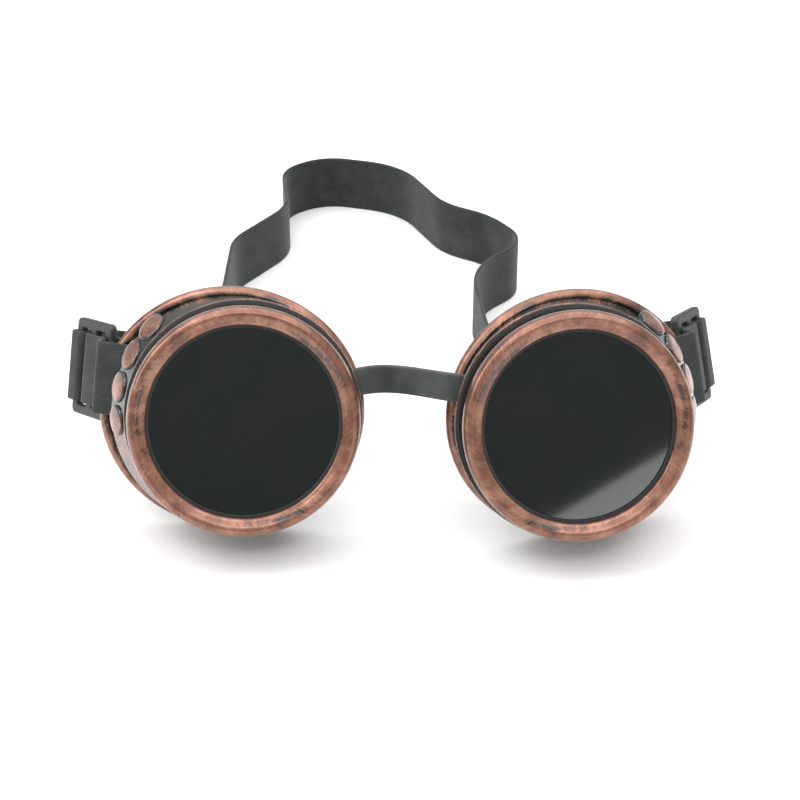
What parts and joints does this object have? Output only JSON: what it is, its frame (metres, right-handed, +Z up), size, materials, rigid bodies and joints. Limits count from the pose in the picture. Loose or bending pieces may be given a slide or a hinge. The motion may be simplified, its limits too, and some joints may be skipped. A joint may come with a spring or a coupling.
{
  "type": "welding goggles",
  "caption": "Round-lens cup goggles with screw-on lens rings, dark lenses, a nose band and an adjustable elastic headband.",
  "frame": {"origin": "middle of the footprint, on the surface that the goggles stand on", "axes": "+Z up, lenses face -Y and tilt up, the headband trails towards +Y, +X to the right seen from the front"},
  "size_m": [0.177, 0.2359, 0.0654],
  "materials": {
    "antique_copper": "antiqued copper paint over moulded plastic, brushed black wear under clear gloss",
    "dark_glass": "polished, nearly black green",
    "clear_glass": "polished clear",
    "gasket_rubber": "matt black",
    "elastic": "ribbed black knitted elastic",
    "thread": "black thread",
    "band_vinyl": "satin black vinyl",
    "stud_metal": "dull",
    "black_plastic": "matt moulded black"
  },
  "bodies": {
    "harness": {"headband": "elastic", "nose_band": "band_vinyl", "left_band_stud": "stud_metal", "right_band_stud": "stud_metal"},
    "left_cup": {"left_eye_cup": "antique_copper", "left_strap_loop": "elastic"},
    "left_lens_pack": {"left_front_gasket": "gasket_rubber", "left_dark_lens": "dark_glass", "left_clear_lens": "clear_glass", "left_rear_gasket": "gasket_rubber"},
    "left_ring": {"left_lens_ring": "antique_copper"},
    "left_adjuster": {"left_buckle": "black_plastic", "left_strap_fold": "elastic", "left_strap_lead": "elastic", "left_tack_stitch": "thread"},
    "right_cup": {"right_eye_cup": "antique_copper", "right_strap_loop": "elastic"},
    "right_lens_pack": {"right_front_gasket": "gasket_rubber", "right_dark_lens": "dark_glass", "right_clear_lens": "clear_glass", "right_rear_gasket": "gasket_rubber"},
    "right_ring": {"right_lens_ring": "antique_copper"},
    "right_adjuster": {"right_buckle": "black_plastic", "right_strap_fold": "elastic", "right_strap_lead": "elastic", "right_tack_stitch": "thread"}
  },
  "joints": [
    {"name": "left_cup_tilt", "type": "hinge", "parent": "harness", "child": "left_cup", "pos_m": [-0.0102, -0.0865, 0.04155], "axis": [0.9962, -0.0688, 0.0528], "range_deg": [-10, 10]},
    {"name": "left_lens_slide", "type": "slide", "parent": "left_cup", "child": "left_lens_pack", "axis": [0.0976, -0.9285, 0.3584], "range_m": [0, 0.006]},
    {"name": "left_ring_turn", "type": "hinge", "parent": "left_lens_pack", "child": "left_ring", "pos_m": [-0.03664, -0.10569, 0.0392], "axis": [0.0976, -0.9285, 0.3584], "range_deg": [0, 1080]},
    {"name": "left_buckle_slide", "type": "slide", "parent": "left_cup", "child": "left_adjuster", "axis": [-0.6609, 0.7195, -0.2136], "range_m": [0, 0.005], "deforming": ["left_strap_fold", "left_strap_lead"]},
    {"name": "right_cup_tilt", "type": "hinge", "parent": "harness", "child": "right_cup", "pos_m": [0.01631, -0.09471, 0.04155], "axis": [0.9602, 0.2744, -0.0528], "range_deg": [-10, 10]},
    {"name": "right_lens_slide", "type": "slide", "parent": "right_cup", "child": "right_lens_pack", "axis": [0.0976, -0.9285, 0.3584], "range_m": [0, 0.006]},
    {"name": "right_ring_turn", "type": "hinge", "parent": "right_lens_pack", "child": "right_ring", "pos_m": [0.04616, -0.10799, 0.0392], "axis": [0.0976, -0.9285, 0.3584], "range_deg": [0, 1080]},
    {"name": "right_buckle_slide", "type": "slide", "parent": "right_cup", "child": "right_adjuster", "axis": [0.4969, 0.8411, -0.2136], "range_m": [0, 0.005], "deforming": ["right_strap_fold", "right_strap_lead"]}
  ],
  "couplings": [
    {"joint": "left_ring_turn", "follows": "left_lens_slide", "rad_per_m": 3141.6},
    {"joint": "right_ring_turn", "follows": "right_lens_slide", "rad_per_m": 3141.6}
  ]
}
